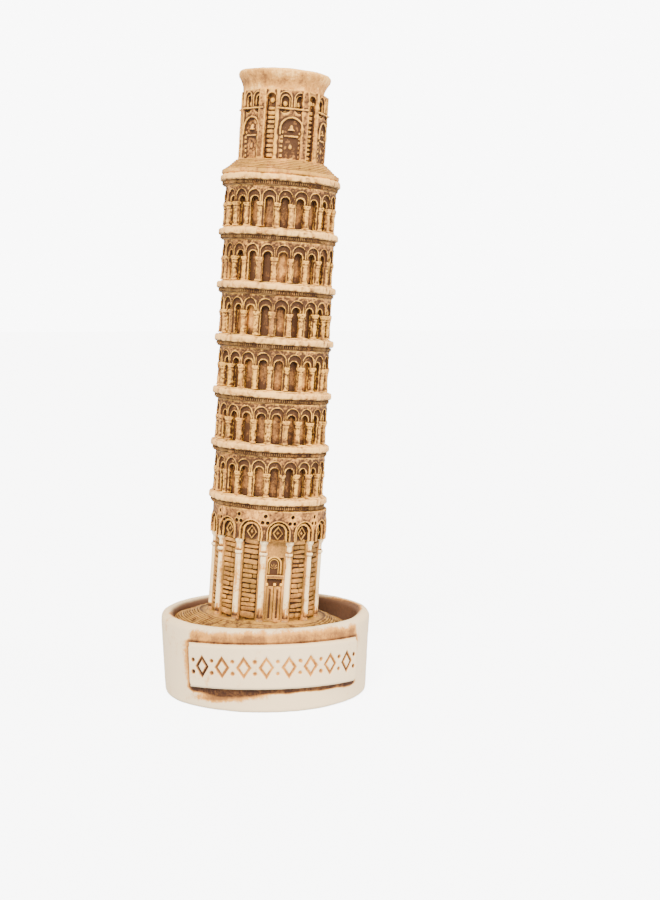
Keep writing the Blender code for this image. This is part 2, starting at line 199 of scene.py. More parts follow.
def finished(piece, kind, **settings):
    """Adds a modifier and applies it."""
    hold(piece)
    modifier = piece.modifiers.new(kind.lower(), kind)
    for key, value in settings.items():
        setattr(modifier, key, value)
    bpy.ops.object.modifier_apply(modifier=modifier.name)
    return piece


def stood_up(scale=(1.0, 1.0, 1.0)):
    """Stands the shape that was just added on its edge, so that it faces the front."""
    piece = bpy.context.object
    piece.rotation_euler = (math.pi / 2, 0.0, 0.0)
    piece.scale = scale
    return fixed(piece)


def block(size, at=(0.0, 0.0, 0.0), soft=0.0, segments=1):
    """A squared block with its arrises taken off."""
    bpy.ops.mesh.primitive_cube_add(size=1.0, location=at)
    piece = bpy.context.object
    piece.scale = size
    fixed(piece)
    if soft:
        open_up(piece)
        bpy.ops.mesh.bevel(offset=soft, segments=segments, affect="EDGES")
        close_up()
    return piece


def spun(outline, sides, ring=False):
    """Spins an outline of (radius, height) points round the upright axis. A ring's outline
    is closed; any other runs from the axis back to the axis."""
    bpy.ops.mesh.primitive_circle_add(vertices=len(outline), radius=1.0, fill_type="NOTHING")
    piece = bpy.context.object
    for vert, (radius, height) in zip(piece.data.vertices, outline):
        vert.co = (radius, 0.0, height)
    if not ring:
        ends = {0, len(outline) - 1}
        open_up(piece, everything=False)
        bpy.ops.mesh.select_mode(type="EDGE")
        close_up()
        for edge in piece.data.edges:
            edge.select = set(edge.vertices) == ends
        bpy.ops.object.mode_set(mode="EDIT")
        bpy.ops.mesh.delete(type="EDGE")
        close_up()
    open_up(piece)
    bpy.ops.mesh.select_mode(type="VERT")
    bpy.ops.mesh.select_all(action="SELECT")
    bpy.ops.mesh.spin(steps=sides, angle=math.tau, center=(0, 0, 0), axis=(0, 0, 1))
    bpy.ops.mesh.select_all(action="SELECT")
    bpy.ops.mesh.remove_doubles(threshold=0.0005)
    bpy.ops.mesh.normals_make_consistent(inside=False)
    close_up()
    return piece


def stilted(piece, stilt):
    """Draws the lower half of an upright round piece down, so that it gets straight legs."""
    pick(piece, lambda x, y, z: z < -0.0001)
    bpy.ops.transform.translate(value=(0.0, 0.0, -stilt))
    close_up()
    return piece


def arch_plug(half, stilt, depth, sides=28):
    """A round-headed solid, as deep as given, with its springing at the origin's height."""
    bpy.ops.mesh.primitive_cylinder_add(vertices=sides, radius=half, depth=depth)
    return stilted(stood_up(), stilt)


def arch_rib(radius, stilt, thick, proud=1.0):
    """A raised moulding on straight legs that follows a stilted arch."""
    bpy.ops.mesh.primitive_torus_add(
        major_radius=radius, minor_radius=thick, major_segments=28, minor_segments=8
    )
    piece = trimmed(stood_up((1.0, 1.0, proud)), 0.0)
    pick(piece, lambda x, y, z: z < 0.0001)
    bpy.ops.mesh.extrude_region_move(TRANSFORM_OT_translate={"value": (0.0, 0.0, -stilt)})
    close_up()
    return piece


def trimmed(piece, floor):
    """Saws off what is below the floor and closes the cut."""
    open_up(piece)
    bpy.ops.mesh.bisect(
        plane_co=(0.0, 0.0, floor), plane_no=(0.0, 0.0, 1.0), use_fill=True, clear_inner=True
    )
    close_up()
    return piece


def ring_place(angle, radius, height=0.0):
    """A place on the round, facing outwards. An angle of 0 is the front."""
    return Matrix.Rotation(angle, 4, "Z") @ Matrix.Translation((0.0, -radius, height))


def copied(shape, place):
    twin = shape.copy()
    twin.data = shape.data.copy()
    bpy.context.scene.collection.objects.link(twin)
    twin.data.transform(place)
    return twin


def discard(piece):
    bpy.data.objects.remove(piece)


def joined(pieces):
    """Joins these pieces into the first one."""
    if len(pieces) > 1:
        hold(*pieces)
        bpy.ops.object.join()
    return bpy.context.view_layer.objects.active if len(pieces) > 1 else pieces[0]


def around(shape, places):
    """Copies of a shape at each of these places, as one piece. The shape itself goes."""
    whole = joined([copied(shape, place) for place in places])
    discard(shape)
    return whole


def ring_of(shape, angles, radius, height=0.0):
    """Copies of a shape at these angles round the axis, as one piece."""
    return around(shape, [ring_place(angle, radius, height) for angle in angles])


def carved(piece, tool, operation="DIFFERENCE"):
    """Cuts the tool out of the piece and puts the tool away."""
    finished(piece, "BOOLEAN", operation=operation, object=tool)
    discard(tool)
    return piece


def cast(piece, grain=CAST, rounds=2):
    """Fuses what is joined into one soft casting."""
    hold(piece)
    piece.data.remesh_voxel_size = grain
    bpy.ops.object.voxel_remesh()
    return finished(piece, "SMOOTH", factor=0.5, iterations=rounds)


def roughened(piece, depth, size, name):
    """Pushes the surface in and out a little, as an old mould does."""
    waves = bpy.data.textures.new(name, "CLOUDS")
    waves.noise_scale = size
    waves.noise_depth = 2
    shake = {"texture": waves, "texture_coords": "LOCAL"}
    finished(piece, "DISPLACE", strength=depth, mid_level=0.5, **shake)


def weathered(piece, name, *coats):
    """Several such coats of (depth, size), the coarsest first."""
    for number, (depth, size) in enumerate(coats):
        roughened(piece, depth, size, f"{name}_{number}")


# ---------------------------------------------------------------- stain masks

def mesh_points(piece):
    points = np.empty(len(piece.data.vertices) * 3)
    piece.data.vertices.foreach_get("co", points)
    return points.reshape(-1, 3)


def move_points(piece, points):
    piece.data.vertices.foreach_set("co", points.ravel())
    piece.data.update()


def polar(points):
    """Distance from the axis, angle from the front, and height of each point."""
    x, y, z = points.T
    return np.hypot(x, y), np.arctan2(x, -y), z


def rising(distance, width):
    """0 where the distance is negative, and 1 from a width further on."""
    return np.clip(distance / width, 0, 1)


def peak(values, middle, width, power=2):
    """1 at the middle, and next to nothing two widths away."""
    return np.exp(-(((values - middle) / width) ** power))


def bulges(piece, rounds):
    """How far each point stands out from its smoothed surroundings."""
    points = mesh_points(piece)
    count = len(points)
    edges = np.empty(len(piece.data.edges) * 2, np.int64)
    piece.data.edges.foreach_get("vertices", edges)
    one, other = edges.reshape(-1, 2).T
    normals = np.empty(count * 3)
    piece.data.vertices.foreach_get("normal", normals)
    normals = normals.reshape(-1, 3)
    degree = np.bincount(edges, minlength=count).clip(1)
    smooth = points.copy()
    for _ in range(rounds):
        total = np.empty_like(smooth)
        for axis in range(3):
            values = smooth[:, axis]
            total[:, axis] = np.bincount(one, values[other], count)
            total[:, axis] += np.bincount(other, values[one], count)
        smooth = total / degree[:, None]
    return ((points - smooth) * normals).sum(axis=1)


def write_mask(piece, name, values):
    mask = piece.data.attributes.new(name, "FLOAT", "POINT")
    mask.data.foreach_set("value", np.clip(values, 0.0, 1.0).astype(np.float32))


def stained(piece, skin, sunk, rounds=10, sharp=0.055, share=0.55, rub=1.0):
    """Writes the masks of a round piece: hollow grows with the depth below the skin's
    radius and in creases, edge grows on ridges."""
    away, angle, _ = polar(mesh_points(piece))
    bulge = bulges(piece, rounds) / sharp
    patchy = 0.0
    for waves in (1, 2, 3, 5):
        patchy = patchy + 0.05 * np.sin(waves * angle + STAMP.uniform(0, math.tau))
    creases = (1.35 - share) * (-bulge).clip(0, 1)
    write_mask(piece, "hollow", share * rising(skin - away, sunk) + creases + patchy)
    write_mask(piece, "edge", rub * rising(bulge - 0.55, 0.8))


# ---------------------------------------------------------------- materials

def socket(group, name, kind, default=None, out=False):
    side = "OUTPUT" if out else "INPUT"
    made = group.interface.new_socket(name=name, in_out=side, socket_type=kind)
    if default is not None:
        made.default_value = default
    return made


def node(tree, kind, **settings):
    made = tree.nodes.new(kind)
    for key, value in settings.items():
        setattr(made, key, value)
    return made


def sums(tree, operation, first, second, clamp=False):
    """A Math node fed by sockets or numbers."""
    made = node(tree, "ShaderNodeMath", operation=operation, use_clamp=clamp)
    for slot, value in zip(made.inputs, (first, second)):
        if isinstance(value, (int, float)):
            slot.default_value = value
        else:
            tree.links.new(value, slot)
    return made.outputs[0]


def blended(tree, factor, first, second):
    """A colour mixed from two sockets or colours."""
    made = node(tree, "ShaderNodeMix", data_type="RGBA")
    slots = (made.inputs[0], made.inputs[6], made.inputs[7])
    for slot, value in zip(slots, (factor, first, second)):
        if isinstance(value, (tuple, float, int)):
            slot.default_value = (*value, 1.0) if isinstance(value, tuple) else value
        else:
            tree.links.new(value, slot)
    return made.outputs[2]


def clouds(tree, place, scale, detail, rough=0.6, stretch=None):
    """Noise in the object's own metres."""
    if stretch:
        squeeze = node(tree, "ShaderNodeMapping")
        squeeze.inputs["Scale"].default_value = stretch
        tree.links.new(place, squeeze.inputs["Vector"])
        place = squeeze.outputs["Vector"]
    made = node(tree, "ShaderNodeTexNoise")
    made.inputs["Scale"].default_value = scale
    made.inputs["Detail"].default_value = detail
    made.inputs["Roughness"].default_value = rough
    tree.links.new(place, made.inputs["Vector"])
    return made.outputs["Fac"]


def ramped(tree, value, low, high):
    """A smooth step from low to high."""
    made = node(tree, "ShaderNodeMapRange", interpolation_type="SMOOTHSTEP")
    made.inputs["From Min"].default_value = low
    made.inputs["From Max"].default_value = high
    tree.links.new(value, made.inputs["Value"])
    return made.outputs["Result"]


WASH_COLOURS = ("Paint", "Warm", "Tint", "Shade", "Rub")


def make_antique_wash():
    """Stain in four depths, from bare paint to the darkest crease, under paint that is
    rubbed over the edges."""
    group = bpy.data.node_groups.new("antique_wash", "ShaderNodeTree")
    for mask in ("Hollow", "Edge", "Stain"):
        socket(group, mask, "NodeSocketFloat", 0.0)
    socket(group, "Mottle", "NodeSocketFloat", 1.0)
    for colour in WASH_COLOURS:
        socket(group, colour, "NodeSocketColor", (*IVORY, 1.0))
    socket(group, "Color", "NodeSocketColor", out=True)
    socket(group, "Roughness", "NodeSocketFloat", out=True)
    socket(group, "Grain", "NodeSocketFloat", out=True)
    given = node(group, "NodeGroupInput").outputs
    place = node(group, "ShaderNodeTexCoord").outputs["Object"]
    patches = clouds(group, place, 260.0, 4.0)
    runs = clouds(group, place, 700.0, 5.0, 0.65, (1.0, 1.0, 0.35))
    specks = clouds(group, place, 2600.0, 3.0, 0.7)
    uneven = 0.0
    for layer, weight in ((patches, 1.2), (runs, 1.1), (specks, 0.8)):
        swing = sums(group, "MULTIPLY", sums(group, "SUBTRACT", layer, 0.5), weight)
        uneven = sums(group, "ADD", uneven, swing)
    uneven = sums(group, "MULTIPLY", uneven, given["Mottle"])
    level = sums(group, "ADD", given["Hollow"], given["Stain"])
    level = sums(group, "ADD", level, uneven)
    warmed = blended(group, ramped(group, level, 0.0, 0.28), given["Paint"], given["Warm"])
    tinted = blended(group, ramped(group, level, 0.26, 0.58), warmed, given["Tint"])
    shaded = blended(group, ramped(group, level, 0.56, 0.98), tinted, given["Shade"])
    rub = sums(group, "MULTIPLY", given["Edge"], ramped(group, runs, 0.34, 0.54), True)
    rubbed = blended(group, sums(group, "MULTIPLY", rub, 0.95), shaded, given["Rub"])
    gloss = sums(group, "ADD", 0.52, sums(group, "MULTIPLY", specks, 0.18))
    gloss = sums(group, "ADD", gloss, sums(group, "MULTIPLY", level, 0.08), True)
    result = node(group, "NodeGroupOutput")
    group.links.new(rubbed, result.inputs["Color"])
    group.links.new(gloss, result.inputs["Roughness"])
    group.links.new(sums(group, "ADD", specks, runs), result.inputs["Grain"])


def aged_resin(name, colours_of_it, stain=0.0, mottle=1.0, masks=True):
    """Painted resin casting. Its shader stays here; the wash group gives what changes."""
    material = bpy.data.materials.new(name)
    material.use_nodes = True
    tree = material.node_tree
    shader = tree.nodes["Principled BSDF"]
    shader.inputs["Metallic"].default_value = 0.0
    shader.inputs["Specular IOR Level"].default_value = 0.22
    wash = bpy.data.node_groups["antique_wash"]
    colours = node(tree, "ShaderNodeGroup", node_tree=wash)
    for slot, colour in zip(WASH_COLOURS, colours_of_it):
        colours.inputs[slot].default_value = (*colour, 1.0)
    colours.inputs["Stain"].default_value = stain
    colours.inputs["Mottle"].default_value = mottle
    if masks:
        for name_of_mask, slot in (("hollow", "Hollow"), ("edge", "Edge")):
            mask = node(tree, "ShaderNodeAttribute", attribute_name=name_of_mask)
            tree.links.new(mask.outputs["Fac"], colours.inputs[slot])
    tree.links.new(colours.outputs["Color"], shader.inputs["Base Color"])
    tree.links.new(colours.outputs["Roughness"], shader.inputs["Roughness"])
    relief = node(tree, "ShaderNodeBump")
    relief.inputs["Strength"].default_value = 0.5
    relief.inputs["Distance"].default_value = GRAIN_DEPTH
    tree.links.new(colours.outputs["Grain"], relief.inputs["Height"])
    tree.links.new(relief.outputs["Normal"], shader.inputs["Normal"])
    return material


# ---------------------------------------------------------------- where the storeys stand

def tower_tilt():
    """The lean of the storeys, from the flattest direction of a cornice plate."""
    points = np.array([vert.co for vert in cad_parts["cornice_4"].data.vertices])
    normal = np.linalg.svd(points - points.mean(axis=0), full_matrices=False)[2][2]
    normal = normal * np.sign(normal[2])
    return math.atan2(normal[0], normal[2])


TILT = Matrix.Rotation(tower_tilt(), 4, "Y")


class Seat:
    """Where a round CAD node stands: its place, and its radius and height in millimetres."""

    def __init__(self, name, upright=False):
        turn = Matrix.Identity(4) if upright else TILT
        back = turn.inverted()
        points = [back @ vert.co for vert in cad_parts[name].data.vertices]
        low = Vector([min(point[axis] for point in points) for axis in range(3)])
        high = Vector([max(point[axis] for point in points) for axis in range(3)])
        middle = (low + high) / 2
        foot = turn @ Vector((middle.x, middle.y, low.z))
        self.place = Matrix.Translation(foot) @ turn @ Matrix.Scale(MM, 4)
        self.radius = (high.y - low.y) / 2 / MM
        self.height = (high.z - low.z) / MM


def settled(piece, node_name, seat, material, smooth=50.0):
    """Gives a finished piece its name, material and place, and lets it stand for its node."""
    piece.name = node_name + "_cast"
    piece.data.name = piece.name
    piece.data.transform(seat.place)
    piece.data.materials.clear()
    piece.data.materials.append(material)
    hold(piece)
    bpy.ops.object.shade_smooth_by_angle(angle=math.radians(smooth))
    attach(piece, "root")
    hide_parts(node_name)


def uneven_row(shape, angles, radius, height, astray, wider, taller):
    """Copies round the axis, each a little out of place and out of size."""
    row = []
    for angle in angles:
        place = ring_place(angle + astray * STAMP.gauss(0, 1), radius, height)
        size = (1 + wider * STAMP.gauss(0, 1), 1.0, 1 + taller * STAMP.gauss(0, 1), 1.0)
        row.append(copied(shape, place @ Matrix.Diagonal(size)))
    return joined(row)


def evenly(count, offset=0.0):
    return [(i + offset) * math.tau / count for i in range(count)]


# ---------------------------------------------------------------- dish and name plate

def arc(centre, radius, start, end, count):
    """Points of an arc, given by its angles in degrees."""
    angles = [math.radians(start + (end - start) * i / count) for i in range(count + 1)]
    return [(centre[0] + radius * math.cos(a), centre[1] + radius * math.sin(a)) for a in angles]


def make_dish(material):
    seat = Seat("base_dish", upright=True)
    rim, high = seat.radius, seat.height
    foot, wall, well = rim - 0.6, 2.1, high - 4.5
    outline = [(0.0, 0.0)]
    outline += [(foot * i / 8, 0.0) for i in range(1, 7)]
    outline += arc((foot - 0.7, 0.7), 0.7, -90, 0, 6)
    outline += [(foot + (rim - foot) * i / 64, 0.9 + (high - 2.2) * i / 64) for i in range(1, 64)]
    outline += arc((rim - wall / 2, high - wall / 2), wall / 2, 0, 180, 14)
    outline += [(rim - wall, high - wall / 2 - 0.4 * i) for i in range(1, 7)]
    outline += arc((rim - wall - 0.5, well + 0.5), 0.5, 0, -90, 4)
    outline += [((rim - wall - 0.5) * (6 - i) / 6, well) for i in range(1, 6)]
    outline += [(0.0, well)]
    dish = spun(outline, 400)
    weathered(dish, "dish", (0.22, 7.0), (0.06, 0.9))
    radius, angle, height = polar(mesh_points(dish))
    angle = np.degrees(angle)
    lip = rising(height - high + 1.2, 0.5) * peak(radius - rim, -1.75, 0.45)
    worn = lip * (peak(angle, -68, 22) + 0.6 * peak(angle, 95, 25))
    write_mask(dish, "inside", rising(rim - 1.45 - radius, 0.5) * (height > 5.0))
    write_mask(dish, "edge", 0.0 * angle)
    # the hollow mask here also carries the painted shadow under the name plate
    write_mask(dish, "hollow", 1.7 * worn + plate_shadow_and_stain(angle, height, radius > rim - 1.2))
    settled(dish, "base_dish", seat, material, 60.0)


# how far, in degrees, the middle of the name plate lies to the left of the front
PLATE_ASIDE = 3.3


def plate_spread():
    """Half the angle that the name plate covers, and its lowest and highest edge."""
    low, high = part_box("name_plate")
    points = [vert.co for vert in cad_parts["name_plate"].data.vertices]
    half = max(math.degrees(math.atan2(point.x, -point.y)) for point in points)
    return half - PLATE_ASIDE, low.z / MM, high.z / MM


def plate_rise(angle, half):
    """The name plate sits a little higher than its flat outline, most of all in the middle."""
    return 0.15 + 0.55 * (1 - (angle / half) ** 2).clip(0, 1)


def plate_shadow_and_stain(angle, height, outside):
    """Painted shadow under the name plate, dark in a band and a pool below it, and stain caught
    ochre above and beside it.
    """
    half, low, high = plate_spread()
    angle = angle + PLATE_ASIDE
    along = rising(half + 3 - np.abs(angle), 4)
    height = height - plate_rise(angle, half)
    over_foot, over_head = height - low, height - high
    heavy = 0.50 + 0.40 * peak(angle, -26, 17) + 0.06 * np.sin(angle / 3.1)
    # painted shadow: a dark band under the plate's lower edge, widest at the left
    under = 1.30 * peak(over_foot, -0.30, heavy, 4) * along
    # painted shadow: a pool of shade below the plate's lower left
    shadow_pool = 0.80 * peak(angle, -26, 18) * peak(over_foot, -1.0, 0.9)
    edge_line = 0.65 * peak(over_head, 0.10, 0.20) * along
    above = 0.56 * rising(over_head, 0.2) * rising(2.6 - over_head, 1.4) * along
    spill = np.where(angle < 0, 3.6, 1.8)
    beside = 0.72 * peak(np.abs(angle) - half, 1.0, spill)
    beside = beside * rising(over_foot + 0.8, 0.5) * rising(0.6 - over_head, 0.6)
    drips = 0.5 * peak(angle, -38, 12) * rising(0.9 - np.abs(height - 1.5), 0.9)
    return (under + shadow_pool + edge_line + above + beside + drips) * outside


def make_name_plate(material):
    """A thin curved panel with a frieze of lozenges and studs sunk in it."""
    half, low, high = plate_spread()
    seat = Seat("base_dish", upright=True)
    bend = seat.radius
    width = math.radians(half) * bend
    bpy.ops.mesh.primitive_grid_add(x_subdivisions=260, y_subdivisions=64, size=1.0)
    panel = stood_up((2 * width, high - low, 1.0))
    open_up(panel)
    bpy.ops.mesh.extrude_region_move(TRANSFORM_OT_translate={"value": (0.0, 1.0, 0.0)})
    bpy.ops.mesh.select_all(action="SELECT")
    bpy.ops.mesh.normals_make_consistent(inside=False)
    close_up()
    points = mesh_points(panel)
    front = points[:, 1] < 0.5
    face, carve = plate_face(points[:, 0], points[:, 2], width, (high - low) / 2)
    cut = np.where(front, face, 0.0)
    angle = points[:, 0] / bend
    upright = points[:, 2] + (low + high) / 2 + plate_rise(np.degrees(angle), half)
    wall = bend - 0.6 * (1.0 - upright / seat.height)
    radius = np.where(front, wall + 0.85 - cut, wall - 0.4)
    turned = angle - math.radians(PLATE_ASIDE)
    moved = np.column_stack((radius * np.sin(turned), -radius * np.cos(turned), upright))
    move_points(panel, moved)
    fade = 0.50 + 1.15 * (np.abs(angle) / math.radians(half)) ** 3
    write_mask(panel, "hollow", carve * fade + np.where(front, 0.0, 0.9))
    write_mask(panel, "edge", 0.0 * angle)
    roughened(panel, 0.05, 0.8, "plate_pits")
    settled(panel, "name_plate", seat, material, 60.0)


def plate_face(x, z, width, half_height):
    """How deep the panel's face lies at each point: rounded off all round, with a sunk
    frieze of lozenges and pairs of studs."""
    corner = 0.9
    qx = np.maximum(np.abs(x) - (width - corner), 0)
    qz = np.maximum(np.abs(z) - (half_height - corner), 0)
    inset = corner - np.hypot(qx, qz)
    border = 0.5 * rising(0.45 - inset, 0.45) ** 2
    pitch = 2 * (width - 1.2) / 8
    near = np.clip(np.round(x / pitch - 0.5) + 0.5, -3.5, 3.5) * pitch
    lozenge = np.abs(x - near) / 1.20 + np.abs(z) / 1.80
    groove = peak(lozenge, 0.82, 0.24, 4)
    between = np.clip(np.round(x / pitch), -4, 4) * pitch
    stud = np.hypot(x - between, np.abs(z) - 1.0)
    carve = np.clip(groove + peak(stud, 0.0, 0.34, 4), 0, 1)
    return border + 0.30 * carve, carve


# ---------------------------------------------------------------- plinth

def make_plinth(material):
    seat = Seat("ground_wall")
    outline = [(0.0, -2.6), (15.0, -2.6), (15.2, -2.1)]
    radius, height = 14.9, -2.0
    for _ in range(11):
        step = 0.30 + 0.22 * STAMP.random()
        outline += [(radius, height), (radius - 0.04, height + 0.20)]
        outline += [(radius - 0.16, height + 0.27)]
        radius, height = radius - step, height + 0.155
        outline += [(radius + 0.06, height + 0.04)]
    outline += [(radius, height), (9.9, -0.25), (9.75, -0.05), (9.2, 0.02), (0.0, 0.02)]
    plinth = spun(outline, 200)
    points = mesh_points(plinth)
    angle = np.arctan2(points[:, 1], points[:, 0])
    away = np.hypot(points[:, 0], points[:, 1])
    drawn = 1 + (0.022 * np.sin(3 * angle + 0.6) + 0.015 * np.sin(5 * angle))
    drawn = np.minimum(drawn, 15.35 / np.maximum(away, 0.1))
    points[:, :2] *= np.where(away > 9.95, drawn, 1.0)[:, None]
    move_points(plinth, points)
    roughened(plinth, 0.28, 1.6, "plinth_waves")
    stained(plinth, STEP_SKIN, STEP_DEPTH, rounds=5, sharp=0.012, share=0.2, rub=0.35)
    settled(plinth, "stepped_plinth", seat, material)


# ---------------------------------------------------------------- ground storey

def make_brickwork(first, last, low, high, radius):
    """Rough courses between two angles, laid from the bottom up."""
    brick = block((1.0, 1.0, 1.0), soft=0.16)
    places = []
    level = low
    while level < high - 0.3:
        course = (0.70 + 0.22 * STAMP.random()) if level > low else 1.15
        joint = 0.13 + 0.22 * STAMP.random() ** 2
        start = first
        while start < last - 0.01:
            length = (1.05 + 1.5 * STAMP.random()) / radius
            end = last if last - start - length < 0.7 / radius else start + length
            proud = 0.26 * STAMP.random()
            size = ((end - start) * radius - 0.12, 0.62, course - joint)
            middle = ring_place((start + end) / 2, radius - 0.31 + proud, level + course / 2)
            skew = Matrix.Rotation(0.17 * (STAMP.random() - 0.5), 4, "Y")
            places.append(middle @ skew @ Matrix.Diagonal((*size, 1.0)))
            start = end
        level += course
    return around(brick, places)


def make_ground_wall(material):
    seat = Seat("ground_wall")
    high, wall = seat.height, seat.radius
    outline = [(0.0, 0.0)] + [(wall + 0.25, high * i / 48) for i in range(49)]
    drum = spun(outline + [(0.0, high)], 208)
    pitch = math.tau / BAYS_BELOW
    column_top = 13.3
    strip = block((1.55, 0.9, column_top), (0.0, 0.0, column_top / 2), 0.10, 2)
    pieces = [drum, ring_of(strip, evenly(BAYS_BELOW, 0.5), wall + 0.40)]
    edge = 0.5 * pitch - 0.80 / wall
    for angle in evenly(BAYS_BELOW)[1:]:
        pieces.append(make_brickwork(angle - edge, angle + edge, 0.35, 13.9, wall + 0.62))
    pieces.append(make_door_case(wall))
    whole = joined(pieces)
    weathered(whole, "wall", (0.10, 1.1), (0.14, 0.45))
    stained(whole, wall + 0.76, 0.42, rounds=2, sharp=0.09, share=0.85, rub=0.16)
    settled(whole, "ground_wall", seat, material, 40.0)


def make_door_case(wall):
    """Plain bay round the door: jambs, a sill and the blank wall above the hood."""
    front = -(wall + 0.25)
    parts = [
        block((3.05, 0.6, 3.0), (0.0, front - 0.1, 12.3), 0.08),
        block((0.34, 0.9, 7.4), (-1.44, front - 0.12, 3.70), 0.08, 2),
        block((0.34, 0.9, 7.4), (1.44, front - 0.12, 3.70), 0.08, 2),
        block((2.9, 1.1, 0.35), (0.0, front - 0.10, 0.17), 0.08, 2),
        block((3.05, 0.5, 4.5), (0.0, front + 0.32, 8.4), 0.05),
    ]
    return joined(parts)


def make_door_leaf(material):
    """Two tall leaves, each with a sunk panel, and the dark gap between them."""
    wall = Seat("ground_wall")
    front = -(wall.radius + 0.20)
    leaves = []
    for side in (-1, 1):
        leaf = block((1.16, 0.6, 5.7), (side * 0.64, front, 3.10), 0.08, 2)
        panel = block((0.40, 0.4, 5.0), (side * 0.64, front - 0.34, 3.00), 0.06)
        leaves.append(carved(leaf, panel))
    leaves.append(block((2.4, 0.25, 5.6), (0.0, front + 0.25, 3.05), 0.03))
    door = cast(joined(leaves), 0.06, 1)
    points = mesh_points(door)
    bulge = bulges(door, 12) / 0.03
    depth = (points[:, 1] - (front - 0.25)) / 0.30
    hollow = -0.06 + 0.50 * depth.clip(0, 1) + 0.4 * (-bulge).clip(0, 1)
    write_mask(door, "hollow", hollow)
    write_mask(door, "edge", 0.25 * bulge.clip(0, 1))
    settled(door, "door_leaf", wall, material)


def make_door_hood(material):
    """Lintel on three consoles over a dark slot, and a hood arch with a palmette in it."""
    wall = Seat("ground_wall")
    front = -(wall.radius + 0.55)
    spring = 9.75
    parts = [block((3.0, 0.85, 0.58), (0.0, front - 0.08, 7.62), 0.10, 2)]
    parts.append(block((3.0, 0.35, 1.5), (0.0, front + 0.36, 6.6), 0.04))
    for x in (-1.3, 0.05, 1.15):
        parts.append(block((0.46, 0.72, 0.50), (x, front, 6.30), 0.12, 2))
    hood = arch_rib(1.16, 1.9, 0.17, 1.2)
    hood.data.transform(Matrix.Translation((-0.25, front, spring)))
    inner = arch_rib(0.78, 1.9, 0.10)
    inner.data.transform(Matrix.Translation((-0.25, front + 0.08, spring)))
    back = arch_plug(1.2, 2.0, 0.4)
    back.data.transform(Matrix.Translation((-0.25, front + 0.42, spring)))
    parts += [hood, inner, back, make_palmette(-0.25, front + 0.16)]
    piece = trimmed(cast(joined(parts), 0.065, 1), 5.92)
    points = mesh_points(piece)
    bulge = bulges(piece, 12) / 0.03
    depth = rising(points[:, 1] - (front - 0.10), 0.32)
    write_mask(piece, "hollow", 0.16 + 0.75 * depth + 0.7 * (-bulge).clip(0, 1))
    write_mask(piece, "edge", 0.8 * (bulge - 0.6).clip(0, 1) * (1 - depth))
    settled(piece, "door_hood", wall, material)


def make_palmette(x, front):
    """A small fan of leaves, the relief under the hood arch."""
    leaves = []
    for i in range(5):
        bpy.ops.mesh.primitive_uv_sphere_add(segments=12, ring_count=8, radius=1.0)
        leaf = bpy.context.object
        leaf.scale = (0.12, 0.14, 0.50)
        fixed(leaf)
        leaf.data.transform(Matrix.Translation((0.0, 0.0, 0.45)))
        leaf.data.transform(Matrix.Rotation(math.radians(30 * (i - 2)), 4, "Y"))
        leaf.data.transform(Matrix.Translation((x, front, 8.85)))
        leaves.append(leaf)
    return joined(leaves)


def ground_column_outline(high):
    """A ringed base, a shaft that thins a little, a ringed neck, a bell capital and a block."""
    shaft, neck = 0.47, high - 2.45
    return [
        (0.0, 0.0), (0.58, 0.0), (0.61, 0.12), (0.57, 0.28), (0.51, 0.34), (0.53, 0.46),
        (0.49, 0.58), (shaft, 0.75), (shaft + 0.01, neck * 0.35), (shaft, neck * 0.7),
        (shaft - 0.03, neck - 0.12),
        (0.57, neck), (0.66, neck + 0.16), (0.62, neck + 0.42), (0.47, neck + 0.52),
        (0.40, neck + 0.66), (0.43, neck + 1.30), (0.40, neck + 1.55), (0.50, neck + 1.72),
        (0.62, neck + 1.95), (0.69, neck + 2.05), (0.69, neck + 2.45), (0.0, neck + 2.45),
    ]


def make_ground_columns(material):
    for i in range(BAYS_BELOW):
        name = f"ground_column_{i + 1:02d}"
        seat = Seat(name)
        column = spun(ground_column_outline(seat.height + 0.3), 22)
        finished(column, "BEVEL", width=0.03, segments=2, limit_method="ANGLE")
        finished(column, "SUBSURF", levels=1, render_levels=1)
        spread = Matrix.Diagonal((1 + 0.12 * (STAMP.random() - 0.5), 1.0, 1.0, 1.0))
        column.data.transform(Matrix.Rotation(STAMP.random(), 4, "Z") @ spread)
        roughened(column, 0.09, 0.9 + 0.2 * STAMP.random(), name)
        stained(column, 0.52, 0.5, rounds=8, sharp=0.05, share=0.1)
        foot = rising(1.2 - mesh_points(column)[:, 2], 1.0)
        hollow = np.empty(len(foot), np.float32)
        mask = column.data.attributes["hollow"].data
        mask.foreach_get("value", hollow)
        mask.foreach_set("value", (hollow + 0.5 * foot).astype(np.float32))
        settled(column, name, seat, material)


